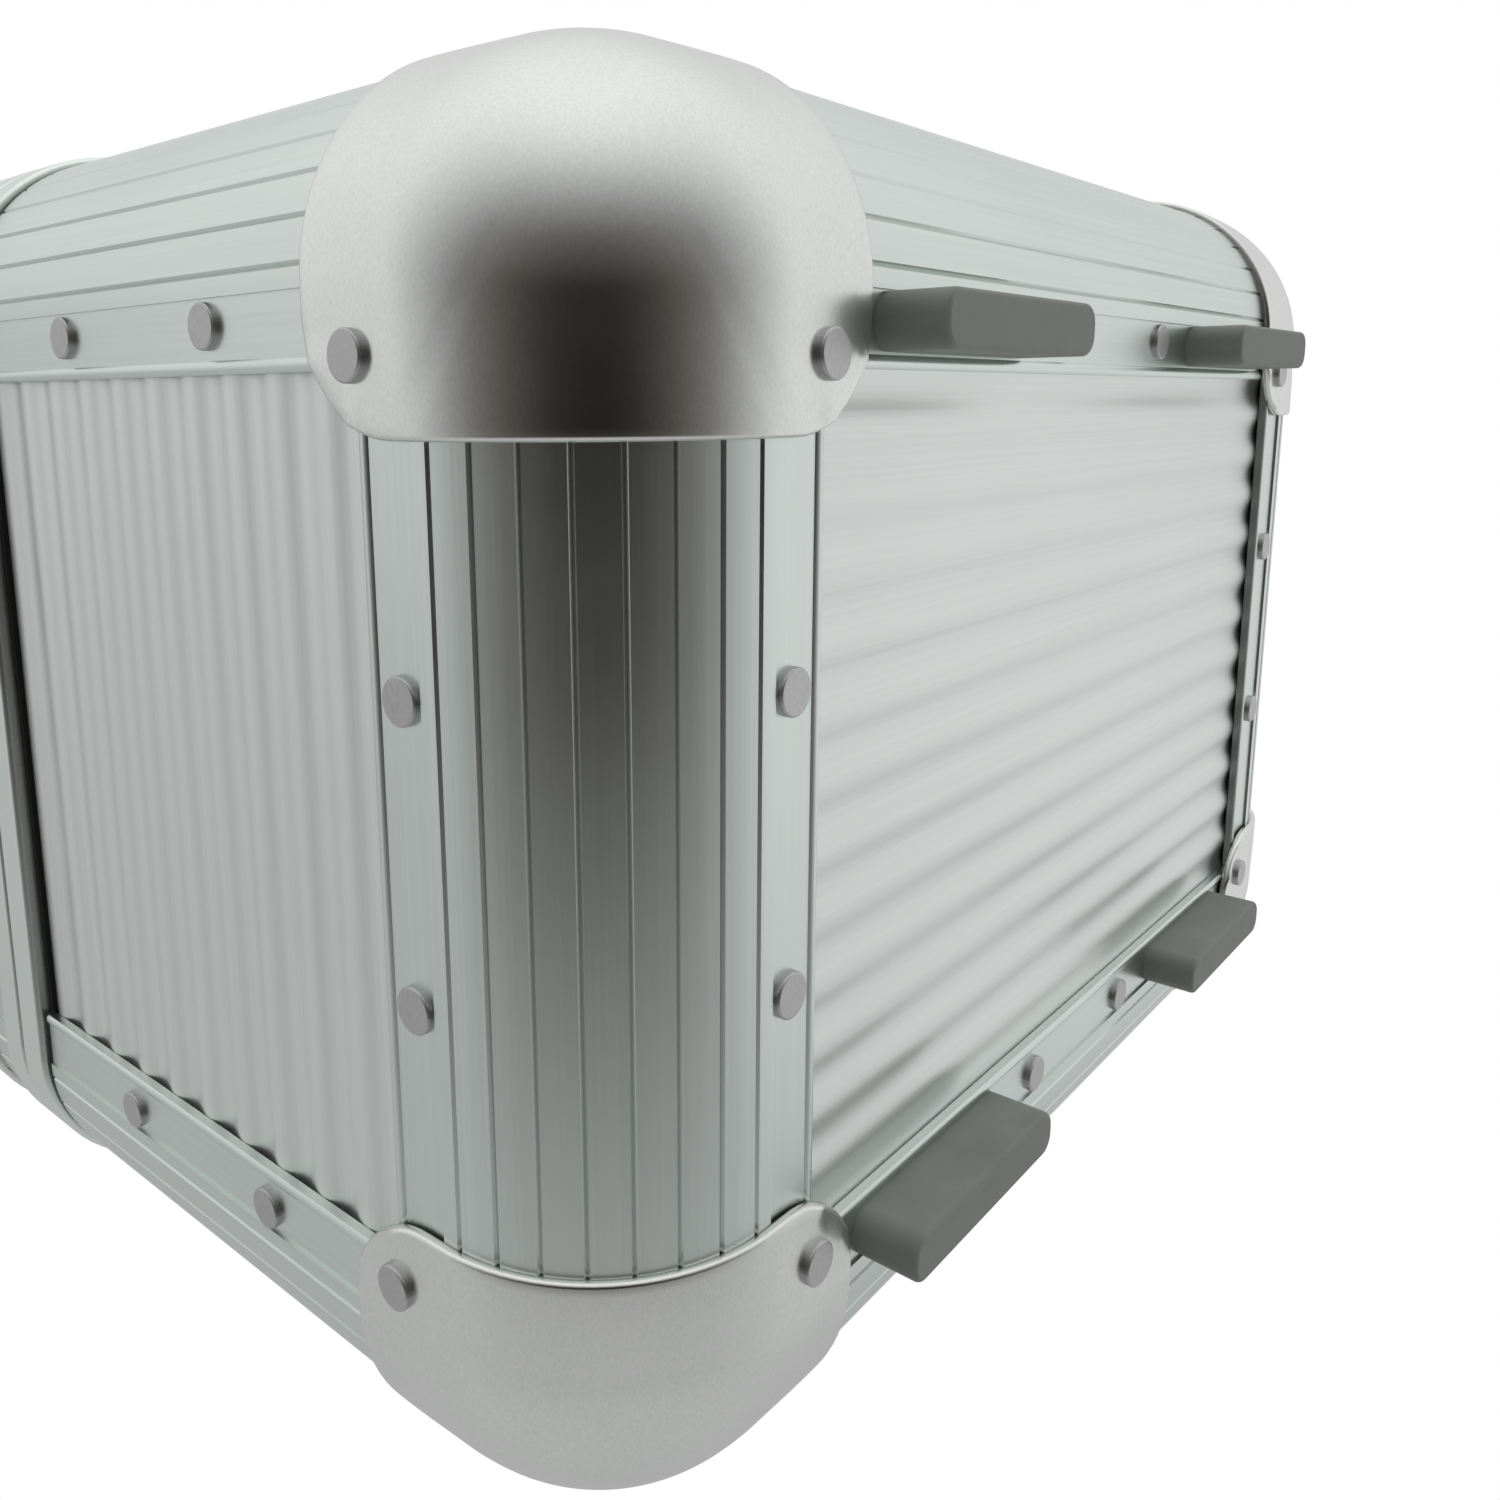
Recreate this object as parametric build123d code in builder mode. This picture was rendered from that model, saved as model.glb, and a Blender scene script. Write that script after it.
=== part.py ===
from build123d import *
import os

# Hard carry case for tabletop miniatures: aluminium edge extrusions, ball corner caps and
# corrugated panels round a foam-filled tub, with a hinged lid, two flip latches and a bail handle.
# Frame: +X along the case, front at -Y, feet on z = 0, origin under the middle of the case.

# Driving dimensions, in millimetres
LENGTH = 290.0            # outer size along X, over the extrusions
DEPTH = 218.0             # outer size along Y, over the extrusions
SHELL_HEIGHT = 250.0      # underside of the base to the top of the lid
FOOT_HEIGHT = 11.0
WALL_TOP = 163.0          # base walls end here, above the underside
SEAL_THICK = 1.5          # black strip between a wall and its rim
RIM_SPLIT = 174.0         # top of the base rim
RIM_GAP = 0.3             # base rim to lid rim, lid shut
RIM_TALL = 9.5

EDGE_ROUND = 33.0         # outer radius of the edge extrusions
EDGE_THICK = 2.0
FLANGE_END = 44.0         # virtual edge to the free edge of a flange
FLANGE_STEP = 0.45        # the flange lies this far below the round
BEAD_WIDE = 2.0
BEAD_DOWN = 0.02          # crest of the bead below the round
GROOVES = 8               # fine grooves along each round
GROOVE_SIDE = 0.62

CAP_THICK = 1.6           # ball corner caps
CAP_REACH = 53.0          # virtual face to the cut edge of a cap
CAP_LOBE = 17.0

PANEL_INSET = 34.0        # virtual edge to the edge of a panel
PANEL_TOP = 2.05          # crest of the corrugation below the outer faces
PANEL_THICK = 1.0
WAVE_DEEP = 0.9
WALL_PITCH = 11.8         # ridge spacing on the four walls
FLOOR_PITCH = 10.4        # ridge spacing under the base and on the lid

RIVET_IN = 37.0           # virtual edge to a flange rivet
CAP_RIVET_IN = 42.3       # virtual edges to the rivet of a cap
RIVET_HEAD = 3.5          # head radius
RIVET_TALL = 1.1
RIVET_SHANK = 1.6
RIVET_DEEP = 4.7
RIVET_SPACING = 44.0
POST_RIVETS = (80.0, 126.0)     # heights above the underside

FOOT_LONG = 50.0
FOOT_WIDE = 8.4
FOOT_IN = 37.4            # virtual edge to the middle of a foot
FOOT_X = 63.6

LINER_IN = 6.3            # outer faces to the liner
LINER_THICK = 2.5
PAD_TOP = 33.0            # top of the floor pad above the underside
TRAY_TALL = 68.0
TRAY_GAP = 0.5
TRAY_FLOOR = 8.0

HINGE_X = 78.0
HINGE_WIDE = 48.0
KNUCKLE = 3.1
PIN = 1.5
PIN_BORE = 1.55
LEAF_THICK = 1.4
HINGE_GAP = 3.4           # rim face to hinge axis

LATCH_X = 82.0
HANDLE_ROD = 3.0
HANDLE_BORE = 3.06
HANDLE_ARM = 40.0
HANDLE_HALF = 60.0        # middle of the handle to the middle of an arm
MOUNT_X = 76.0

# Worked-out places
BASE_Z = FOOT_HEIGHT
TOP_Z = FOOT_HEIGHT + SHELL_HEIGHT
WALL_TOP_Z = BASE_Z + WALL_TOP
BASE_RIM_Z = WALL_TOP_Z + SEAL_THICK
SPLIT_Z = BASE_Z + RIM_SPLIT
LID_RIM_Z = SPLIT_Z + RIM_GAP
LID_WALL_Z = LID_RIM_Z + RIM_TALL + SEAL_THICK
RIM_PROUD = 1.3
RIM_IN = 6.0
SKIRT_IN = 4.6
SKIRT_TALL = 10.0
END_IN = FLANGE_END + 0.2     # extrusions end under the caps
HALF_X = LENGTH / 2
HALF_Y = DEPTH / 2

os.makedirs("parts", exist_ok=True)
ACROSS = Vector(1, 0, 0)
BACK = Vector(0, 1, 0)
UP = Vector(0, 0, 1)


def save(piece, name):
    piece.part.label = name
    export_step(piece.part, "parts/" + name + ".step")


def unit_signs(side):
    """'front_left' and the like to the signs of Y and X."""
    return (-1 if "front" in side else 1, -1 if "left" in side else 1)


# Rivets are collected as planes, z outward, while the pieces they hold are laid out
flange_rivets = {"base": [], "lid": []}
cap_rivets = {"base": [], "lid": []}
foot_screws = []


def rivets_on(half, outward):
    """Every fastener plane of one half that goes through the face with this outward normal."""
    planes = flange_rivets[half] + cap_rivets[half]
    if half == "base":
        planes = planes + foot_screws
    return [plane for plane in planes if plane.z_dir.dot(outward) > 0.9]


# Section of an edge extrusion: quarter round with two flanges, virtual corner at the local origin
ROUND_INSIDE = EDGE_ROUND - EDGE_THICK
BEAD_START = FLANGE_END - BEAD_WIDE
BEAD_MIDDLE = FLANGE_END - BEAD_WIDE / 2
with BuildSketch() as edge_form:
    with BuildLine():
        CenterArc((EDGE_ROUND, EDGE_ROUND), EDGE_ROUND, 180, 90)
        Polyline((EDGE_ROUND, 0), (EDGE_ROUND, FLANGE_STEP), (BEAD_START, FLANGE_STEP))
        ThreePointArc((BEAD_START, FLANGE_STEP), (BEAD_MIDDLE, BEAD_DOWN), (FLANGE_END, FLANGE_STEP))
        Polyline((FLANGE_END, FLANGE_STEP), (FLANGE_END, EDGE_THICK), (EDGE_ROUND, EDGE_THICK))
        CenterArc((EDGE_ROUND, EDGE_ROUND), ROUND_INSIDE, 180, 90)
        Polyline((EDGE_THICK, EDGE_ROUND), (EDGE_THICK, FLANGE_END), (FLANGE_STEP, FLANGE_END))
        ThreePointArc((FLANGE_STEP, FLANGE_END), (BEAD_DOWN, BEAD_MIDDLE), (FLANGE_STEP, BEAD_START))
        Polyline((FLANGE_STEP, BEAD_START), (FLANGE_STEP, EDGE_ROUND), (0, EDGE_ROUND))
    make_face()
    for number in range(GROOVES):
        angle = 180 + 90 / GROOVES * (number + 0.5)
        reach = Vector(EDGE_ROUND, 0).rotate(Axis.Z, angle)
        with Locations((EDGE_ROUND + reach.X, EDGE_ROUND + reach.Y)):
            Rectangle(GROOVE_SIDE, GROOVE_SIDE, rotation=45 + angle, mode=Mode.SUBTRACT)


def extrusion(half, name, middle, first, second, length, first_rivets, second_rivets):
    """One edge extrusion: first and second are its two inward directions."""
    along = first.cross(second)
    planes = []
    for inward, other, places in ((first, second, first_rivets), (second, first, second_rivets)):
        for place in places:
            spot = middle + inward * RIVET_IN + along * place + other * FLANGE_STEP
            planes.append(Plane(origin=spot, z_dir=other * -1))
    flange_rivets[half].extend(planes)
    with BuildPart() as piece:
        with BuildSketch(Plane(origin=middle, x_dir=first, z_dir=along)):
            add(edge_form.sketch)
        extrude(amount=length / 2, both=True)
        drilled = planes + [plane for plane in foot_screws if "bottom" in name]
        if drilled:
            with Locations(*drilled):
                Cylinder(RIVET_SHANK, 3 * EDGE_THICK, mode=Mode.SUBTRACT)
    save(piece, name)


# Foot screws go through the long bottom edges and the bottom panel
for side in (-1, 1):
    for foot in (-1, 1):
        for end in (-1, 1):
            spot = (foot * FOOT_X + end * 15.0, side * (HALF_Y - FOOT_IN), BASE_Z + FLANGE_STEP)
            foot_screws.append(Plane(origin=spot, z_dir=(0, 0, -1)))

pair = (-RIVET_SPACING / 2, RIVET_SPACING / 2)
four = (-1.5 * RIVET_SPACING, -0.5 * RIVET_SPACING, 0.5 * RIVET_SPACING, 1.5 * RIVET_SPACING)
long_run = LENGTH - 2 * END_IN
short_run = DEPTH - 2 * END_IN

# Bottom and top edges: "first" lies along the flat floor or lid, "second" up or down the wall
for half, face_z, rise in (("base", BASE_Z, UP), ("lid", TOP_Z, UP * -1)):
    kind = "bottom" if half == "base" else "top"
    flat_long = pair if half == "base" else four
    for label, sign in (("front", -1), ("back", 1)):
        middle = Vector(0, sign * HALF_Y, face_z)
        extrusion(half, f"{half}_{kind}_edge_{label}", middle, BACK * -sign, rise, long_run, flat_long, four)
    for label, sign in (("left", -1), ("right", 1)):
        middle = Vector(sign * HALF_X, 0, face_z)
        extrusion(half, f"{half}_{kind}_edge_{label}", middle, ACROSS * -sign, rise, short_run, pair, pair)

# Upright posts of the base and the short ones of the lid
for side in ("front_left", "front_right", "back_left", "back_right"):
    sign_y, sign_x = unit_signs(side)
    inward_x = ACROSS * -sign_x
    inward_y = BACK * -sign_y
    handed = inward_x.cross(inward_y).Z
    for half, low, high, heights in (
        ("base", BASE_Z + END_IN, WALL_TOP_Z, POST_RIVETS),
        ("lid", LID_WALL_Z, TOP_Z - END_IN, ()),
    ):
        middle = Vector(sign_x * HALF_X, sign_y * HALF_Y, (low + high) / 2)
        places = [handed * (BASE_Z + height - middle.Z) for height in heights]
        extrusion(half, f"{half}_post_{side}", middle, inward_x, inward_y, high - low, places, places)


# Ball corner caps
def cap_planes(sign_x, sign_y, face_z, rise):
    """The three rivet planes of one cap, standing on its outer faces."""
    near = CAP_RIVET_IN
    corner = Vector(sign_x * HALF_X, sign_y * HALF_Y, face_z)
    ways = (ACROSS * -sign_x, BACK * -sign_y, UP * rise)
    planes = []
    for number in range(3):
        outward = ways[number] * -1
        spot = corner + (ways[number - 1] + ways[number - 2]) * near + outward * CAP_THICK
        planes.append(Plane(origin=spot, z_dir=outward))
    return planes


def rounded_corner(near, far, radius):
    """A block from near to far on all three axes, with its three edges at the near corner rounded."""
    with BuildPart() as block:
        with Locations((near, near, near)):
            Box(far - near, far - near, far - near, align=(Align.MIN, Align.MIN, Align.MIN))
        meeting = [
            block.edges().filter_by(axis).sort_by(lambda edge: edge.center().length)[0]
            for axis in (Axis.X, Axis.Y, Axis.Z)
        ]
        fillet(meeting, radius)
    return block.part


with BuildPart() as cap_form:
    add(rounded_corner(-CAP_THICK, CAP_REACH, EDGE_ROUND + CAP_THICK))
    add(rounded_corner(0, 2 * CAP_REACH, EDGE_ROUND), mode=Mode.SUBTRACT)
    lobes = []
    for axis in (Axis.X, Axis.Y, Axis.Z):
        lobes.append(cap_form.edges().filter_by(axis).sort_by(lambda edge: edge.center().length)[-1])
    fillet(lobes, CAP_LOBE)

for half, face_z, rise in (("base", BASE_Z, 1), ("lid", TOP_Z, -1)):
    for side in ("front_left", "front_right", "back_left", "back_right"):
        sign_y, sign_x = unit_signs(side)
        planes = cap_planes(sign_x, sign_y, face_z, rise)
        cap_rivets[half].extend(planes)
        with BuildPart() as corner:
            add(cap_form.part)
            if sign_x > 0:
                mirror(about=Plane.YZ, mode=Mode.REPLACE)
            if sign_y > 0:
                mirror(about=Plane.XZ, mode=Mode.REPLACE)
            if rise < 0:
                mirror(about=Plane.XY, mode=Mode.REPLACE)
        with BuildPart() as cap:
            with Locations((sign_x * HALF_X, sign_y * HALF_Y, face_z)):
                add(corner.part)
            with Locations(*planes):
                Cylinder(RIVET_SHANK, 4 * CAP_THICK, mode=Mode.SUBTRACT)
        save(cap, f"{half}_corner_{side}")


# Corrugated panels
def panel(half, name, centre, along, outward, run, across, pitch):
    """A corrugated sheet: ridges repeat along `along`, and each ridge is `across` long."""
    bends = round(run / pitch * 2)
    step = run / bends
    middle = -PANEL_TOP - WAVE_DEEP / 2
    spread = WAVE_DEEP / 2
    bottom = middle - PANEL_THICK
    with BuildPart() as piece:
        with BuildSketch(Plane(origin=centre, x_dir=along, z_dir=along.cross(outward))):
            with BuildLine():
                for number in range(bends):
                    x = -run / 2 + number * step
                    bow = spread if number % 2 else -spread
                    ThreePointArc((x, middle), (x + step / 2, middle + bow), (x + step, middle))
                    ThreePointArc((x, bottom), (x + step / 2, bottom + bow), (x + step, bottom))
                Line((-run / 2, middle), (-run / 2, bottom))
                Line((run / 2, middle), (run / 2, bottom))
            make_face()
        extrude(amount=across / 2, both=True)
        with Locations(*rivets_on(half, outward)):
            Cylinder(RIVET_SHANK, 8 * PANEL_TOP, mode=Mode.SUBTRACT)
    save(piece, name)


flat_x = LENGTH - 2 * PANEL_INSET
flat_y = DEPTH - 2 * PANEL_INSET
base_low = BASE_Z + PANEL_INSET
lid_high = TOP_Z - PANEL_INSET
panel("base", "base_bottom_panel", Vector(0, 0, BASE_Z), BACK, UP * -1, flat_y, flat_x, FLOOR_PITCH)
panel("lid", "lid_top_panel", Vector(0, 0, TOP_Z), BACK, UP, flat_y, flat_x, FLOOR_PITCH)
for half, low, high in (("base", base_low, WALL_TOP_Z), ("lid", LID_WALL_Z, lid_high)):
    middle_z = (low + high) / 2
    for label, sign in (("front", -1), ("back", 1)):
        centre = Vector(0, sign * HALF_Y, middle_z)
        panel(half, f"{half}_{label}_panel", centre, UP, BACK * sign, high - low, flat_x, WALL_PITCH)
    for label, sign in (("left", -1), ("right", 1)):
        centre = Vector(sign * HALF_X, 0, middle_z)
        panel(half, f"{half}_{label}_panel", centre, UP, ACROSS * sign, high - low, flat_y, WALL_PITCH)


# Rims, seals and gasket follow the rounded outline of the case
RIM_SOFTEN = 1.2
GASKET_IN = 2.2
GASKET_WIDE = 2.0
GASKET_DEEP = 1.5
GASKET_CREST = 0.1


def outline(depth, mode=Mode.ADD):
    """The outline of the case, moved inward by depth."""
    RectangleRounded(LENGTH - 2 * depth, DEPTH - 2 * depth, EDGE_ROUND - depth, mode=mode)


def rim(half, low, skirt_low, grooved, drilled):
    """One rim: a stout proud band with a thin skirt that stands behind the wall panels."""
    with BuildPart() as piece:
        with BuildSketch(Plane.XY.offset(low)):
            outline(-RIM_PROUD)
        extrude(amount=RIM_TALL)
        fillet(piece.edges().group_by(Axis.Z)[0] + piece.edges().group_by(Axis.Z)[-1], RIM_SOFTEN)
        with BuildSketch(Plane.XY.offset(skirt_low)):
            outline(SKIRT_IN)
        extrude(amount=SKIRT_TALL)
        with BuildSketch(Plane.XY.offset(low - 2 * SKIRT_TALL)):
            outline(RIM_IN)
        extrude(amount=4 * SKIRT_TALL, mode=Mode.SUBTRACT)
        if grooved:
            with BuildSketch(Plane.XY.offset(SPLIT_Z)):
                outline(GASKET_IN)
                outline(GASKET_IN + GASKET_WIDE, Mode.SUBTRACT)
            extrude(amount=-GASKET_DEEP, mode=Mode.SUBTRACT)
        with Locations(*drilled):
            Cylinder(FIXING_SHANK, 2 * FIXING_DEEP, mode=Mode.SUBTRACT)
    save(piece, half + "_rim")


def band(name, low, tall, outside, inside):
    """A plain ring between two depths below the outline."""
    with BuildPart() as piece:
        with BuildSketch(Plane.XY.offset(low)):
            outline(outside)
            outline(inside, Mode.SUBTRACT)
        extrude(amount=tall)
    save(piece, name)


# Small fixings of the hinges and latches, as planes with z outward on the face they stand on
FIXING_SHANK = 1.0
FIXING_HEAD = 1.9
FIXING_TALL = 0.5
FIXING_DEEP = 4.0
RIM_FACE = HALF_Y + RIM_PROUD
HINGE_Y = RIM_FACE + HINGE_GAP
HINGE_Z = SPLIT_Z + RIM_GAP / 2
LEAF_TALL = 9.0
LEAF_HOLES = (-16.0, 16.0)
LATCH_PLATE = 1.5
LATCH_OUT = 4.6               # rim face to latch axis
LATCH_Y = -(RIM_FACE + LATCH_OUT)
LATCH_Z = SPLIT_Z + 5.5
STRIKE_PLATE = 1.2
STRIKE_Z = SPLIT_Z - 4.8
STRIKE_HALF = 9.0
FIXING_X = 6.0

hinge_fixings = {"base": [], "lid": []}
latch_fixings = {"base": [], "lid": []}
for half, way in (("base", -1), ("lid", 1)):
    leaf_middle = HINGE_Z + way * (HINGE_GAP + LEAF_TALL) / 2
    latch_middle = STRIKE_Z if half == "base" else LATCH_Z
    latch_face = -(RIM_FACE + (STRIKE_PLATE if half == "base" else LATCH_PLATE))
    for side in (-1, 1):
        for hole in LEAF_HOLES:
            spot = (side * HINGE_X + hole, RIM_FACE + LEAF_THICK, leaf_middle)
            hinge_fixings[half].append(Plane(origin=spot, z_dir=(0, 1, 0)))
        for hole in (-FIXING_X, FIXING_X):
            spot = (side * LATCH_X + hole, latch_face, latch_middle)
            latch_fixings[half].append(Plane(origin=spot, z_dir=(0, -1, 0)))

rim("base", BASE_RIM_Z, BASE_RIM_Z - SKIRT_TALL, True, hinge_fixings["base"] + latch_fixings["base"])
rim("lid", LID_RIM_Z, LID_RIM_Z + RIM_TALL, False, hinge_fixings["lid"] + latch_fixings["lid"])
band("base_wall_seal", WALL_TOP_Z, SEAL_THICK, 1.5, SKIRT_IN)
band("lid_wall_seal", LID_WALL_Z - SEAL_THICK, SEAL_THICK, 1.5, SKIRT_IN)
band("rim_gasket", SPLIT_Z - GASKET_DEEP, GASKET_DEEP + GASKET_CREST, GASKET_IN, GASKET_IN + GASKET_WIDE)


# Rivets and screws
def rivet_form(head, tall, shank, deep, soften):
    """A rivet standing on z = 0 with its shank below."""
    with BuildPart() as rivet:
        Cylinder(head, tall, align=(Align.CENTER, Align.CENTER, Align.MIN))
        fillet(rivet.edges().group_by(Axis.Z)[-1], soften)
        Cylinder(shank, deep, align=(Align.CENTER, Align.CENTER, Align.MAX))
    return rivet.part


flange_form = rivet_form(RIVET_HEAD, RIVET_TALL, RIVET_SHANK, RIVET_DEEP, 0.35)
cap_form_rivet = rivet_form(RIVET_HEAD, RIVET_TALL, RIVET_SHANK, RIVET_DEEP + CAP_THICK, 0.35)
fixing_form = rivet_form(FIXING_HEAD, FIXING_TALL, FIXING_SHANK, FIXING_DEEP, 0.2)
for half in ("base", "lid"):
    with BuildPart() as rivets:
        with Locations(*flange_rivets[half]):
            add(flange_form)
        with Locations(*cap_rivets[half]):
            add(cap_form_rivet)
        with Locations(*hinge_fixings[half]):
            add(fixing_form)
        with Locations(*latch_fixings[half]):
            Cylinder(FIXING_SHANK, FIXING_DEEP, align=(Align.CENTER, Align.CENTER, Align.MAX))
    save(rivets, half + "_rivets")

# Feet and their screws, which come from inside the case
SCREW_BITE = 6.0
SCREW_HEAD = 3.0
SCREW_HEAD_TALL = 1.4
SCREW_SEAT = 4.65             # head underside above the underside of the base
with BuildPart() as feet:
    foot_top = FOOT_HEIGHT + FLANGE_STEP
    with GridLocations(2 * FOOT_X, 2 * (HALF_Y - FOOT_IN), 2, 2):
        Box(FOOT_LONG, FOOT_WIDE, foot_top, align=(Align.CENTER, Align.CENTER, Align.MIN))
    fillet(feet.edges().filter_by(Axis.Z), 3.4)
    fillet(feet.edges().group_by(Axis.Z)[0], 0.9)
    with Locations(*foot_screws):
        Cylinder(RIVET_SHANK, 2 * (SCREW_BITE + FLANGE_STEP), mode=Mode.SUBTRACT)
save(feet, "feet")

screw_length = SCREW_SEAT + SCREW_BITE
with BuildPart() as screws:
    for plane in foot_screws:
        with Locations((plane.origin.X, plane.origin.Y, BASE_Z + SCREW_SEAT)):
            Cylinder(SCREW_HEAD, SCREW_HEAD_TALL, align=(Align.CENTER, Align.CENTER, Align.MIN))
            Cylinder(RIVET_SHANK, screw_length, align=(Align.CENTER, Align.CENTER, Align.MAX))
save(screws, "foot_screws")


# Liners, pads and trays
def tub(depth, low, high, face):
    """A closed block of the inside shape, rounded at the bottom (face 0) or at the top (face -1)."""
    with BuildPart() as block:
        middle = (low + high) / 2
        with Locations((0, 0, middle)):
            Box(LENGTH - 2 * depth, DEPTH - 2 * depth, high - low)
        rounded = block.edges().filter_by(Axis.Z) + block.faces().sort_by(Axis.Z)[face].edges()
        fillet(rounded, EDGE_ROUND - depth)
    return block.part


INNER = LINER_IN + LINER_THICK
PAD_IN = INNER + 0.3
TRAY_IN = INNER + TRAY_GAP
liner_high = SPLIT_Z - 1.0
lid_liner_low = LID_RIM_Z + 1.0
over = 2 * CAP_REACH
with BuildPart() as base_liner:
    add(tub(LINER_IN, BASE_Z + LINER_IN, liner_high, 0))
    add(tub(INNER, BASE_Z + INNER, liner_high + over, 0), mode=Mode.SUBTRACT)
save(base_liner, "base_liner")
with BuildPart() as lid_liner:
    add(tub(LINER_IN, lid_liner_low, TOP_Z - LINER_IN, -1))
    add(tub(INNER, lid_liner_low - over, TOP_Z - INNER, -1), mode=Mode.SUBTRACT)
save(lid_liner, "lid_liner")

LID_FOAM = 36.0
with BuildPart() as floor_pad:
    add(tub(PAD_IN, BASE_Z + INNER, BASE_Z + PAD_TOP, 0))
save(floor_pad, "floor_pad")
with BuildPart() as lid_foam:
    add(tub(PAD_IN, TOP_Z - INNER - LID_FOAM, TOP_Z - INNER, -1))
save(lid_foam, "lid_foam")

TRAY_EDGE = 10.0
TRAY_RIB = 8.0
POCKET_ROUND = 6.0
tray_x = LENGTH - 2 * TRAY_IN
tray_y = DEPTH - 2 * TRAY_IN
for name, low, columns, rows in (
    ("foam_tray_lower", BASE_Z + PAD_TOP, 3, 2),
    ("foam_tray_upper", BASE_Z + PAD_TOP + TRAY_TALL, 4, 3),
):
    pocket_x = (tray_x - 2 * TRAY_EDGE - (columns - 1) * TRAY_RIB) / columns
    pocket_y = (tray_y - 2 * TRAY_EDGE - (rows - 1) * TRAY_RIB) / rows
    with BuildPart() as tray:
        with BuildSketch(Plane.XY.offset(low)):
            outline(TRAY_IN)
        extrude(amount=TRAY_TALL)
        with BuildSketch(Plane.XY.offset(low + TRAY_FLOOR)):
            with GridLocations(pocket_x + TRAY_RIB, pocket_y + TRAY_RIB, columns, rows):
                RectangleRounded(pocket_x, pocket_y, POCKET_ROUND)
        extrude(amount=TRAY_TALL, mode=Mode.SUBTRACT)
    save(tray, name)


# Hinges: two, on the outer face of the rims at the back
def lying_cylinder(radius, length, mode=Mode.ADD):
    """A cylinder whose axis runs along X."""
    Cylinder(radius, length, rotation=(0, 90, 0), mode=mode)


def hinge_leaves(name, way, knuckles, fixings):
    """One leaf of each hinge: way is -1 for the base and 1 for the lid."""
    with BuildPart() as leaves:
        for side in (-1, 1):
            plate_z = HINGE_Z + way * (HINGE_GAP + LEAF_TALL) / 2
            with Locations((side * HINGE_X, RIM_FACE + LEAF_THICK / 2, plate_z)):
                Box(HINGE_WIDE, LEAF_THICK, LEAF_TALL - HINGE_GAP)
            for offset, length in knuckles:
                x = side * HINGE_X + offset
                with Locations((x, RIM_FACE + HINGE_GAP / 2, HINGE_Z + way * HINGE_GAP / 2)):
                    Box(length, HINGE_GAP, HINGE_GAP)
                with Locations((x, HINGE_Y, HINGE_Z)):
                    lying_cylinder(KNUCKLE, length)
            with Locations((side * HINGE_X, HINGE_Y, HINGE_Z)):
                lying_cylinder(PIN_BORE, 2 * HINGE_WIDE, Mode.SUBTRACT)
        with Locations(*fixings):
            Cylinder(FIXING_SHANK, 4 * LEAF_THICK, mode=Mode.SUBTRACT)
    save(leaves, name)


KNUCKLE_GAP = 0.3
third = HINGE_WIDE / 3
hinge_leaves("hinge_base_leaves", -1, ((-third, third - KNUCKLE_GAP), (third, third - KNUCKLE_GAP)),
             hinge_fixings["base"])
hinge_leaves("hinge_lid_leaves", 1, ((0, third - KNUCKLE_GAP),), hinge_fixings["lid"])
with BuildPart() as hinge_pins:
    for side in (-1, 1):
        with Locations((side * HINGE_X, HINGE_Y, HINGE_Z)):
            lying_cylinder(PIN, HINGE_WIDE + 1.0)
save(hinge_pins, "hinge_pins")

# Latches: a lever on a bracket on the lid rim hangs over a strike on the base rim
EAR_THICK = 2.0
EAR_ROUND = 2.8
LATCH_HALF = 13.0
LEVER_HALF = LATCH_HALF - EAR_THICK - 0.3
LEVER_THICK = 2.0
LEVER_LOW = SPLIT_Z - 9.0
LEVER_INNER = -(RIM_FACE + 2.8)
STRIKE_NOSE = 1.2
with BuildPart() as strikes:
    for side in (-1, 1):
        with Locations((side * LATCH_X, -(RIM_FACE + STRIKE_PLATE / 2), STRIKE_Z)):
            Box(2 * STRIKE_HALF, STRIKE_PLATE, 7.4)
        with Locations((side * LATCH_X, -(RIM_FACE + STRIKE_PLATE), STRIKE_Z - 1.6)):
            lying_cylinder(STRIKE_NOSE, 2 * STRIKE_HALF)
    with BuildSketch(Plane.XZ.offset(RIM_FACE)):
        with Locations((-LATCH_X, STRIKE_Z), (LATCH_X, STRIKE_Z)):
            Rectangle(3 * STRIKE_HALF, 3 * STRIKE_HALF)
    extrude(amount=-2 * STRIKE_NOSE, mode=Mode.SUBTRACT)
    with Locations(*latch_fixings["base"]):
        Cylinder(FIXING_SHANK, 4 * STRIKE_PLATE, mode=Mode.SUBTRACT)
save(strikes, "latch_strikes")

with BuildPart() as brackets:
    plate_mid = LID_RIM_Z + RIM_TALL / 2
    for side in (-1, 1):
        with Locations((side * LATCH_X, -(RIM_FACE + LATCH_PLATE / 2), plate_mid)):
            Box(2 * LATCH_HALF, LATCH_PLATE, RIM_TALL - 1.5)
        for ear in (-1, 1):
            x = side * LATCH_X + ear * (LATCH_HALF - EAR_THICK / 2)
            with Locations((x, -(RIM_FACE + LATCH_OUT / 2), LATCH_Z)):
                Box(EAR_THICK, LATCH_OUT, 2 * EAR_ROUND)
            with Locations((x, LATCH_Y, LATCH_Z)):
                lying_cylinder(EAR_ROUND, EAR_THICK)
        with Locations((side * LATCH_X, LATCH_Y, LATCH_Z)):
            lying_cylinder(PIN_BORE, 4 * LATCH_HALF, Mode.SUBTRACT)
    with Locations(*latch_fixings["lid"]):
        Cylinder(FIXING_SHANK, 2.5 * LATCH_PLATE, mode=Mode.SUBTRACT)
save(brackets, "latch_brackets")

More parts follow.
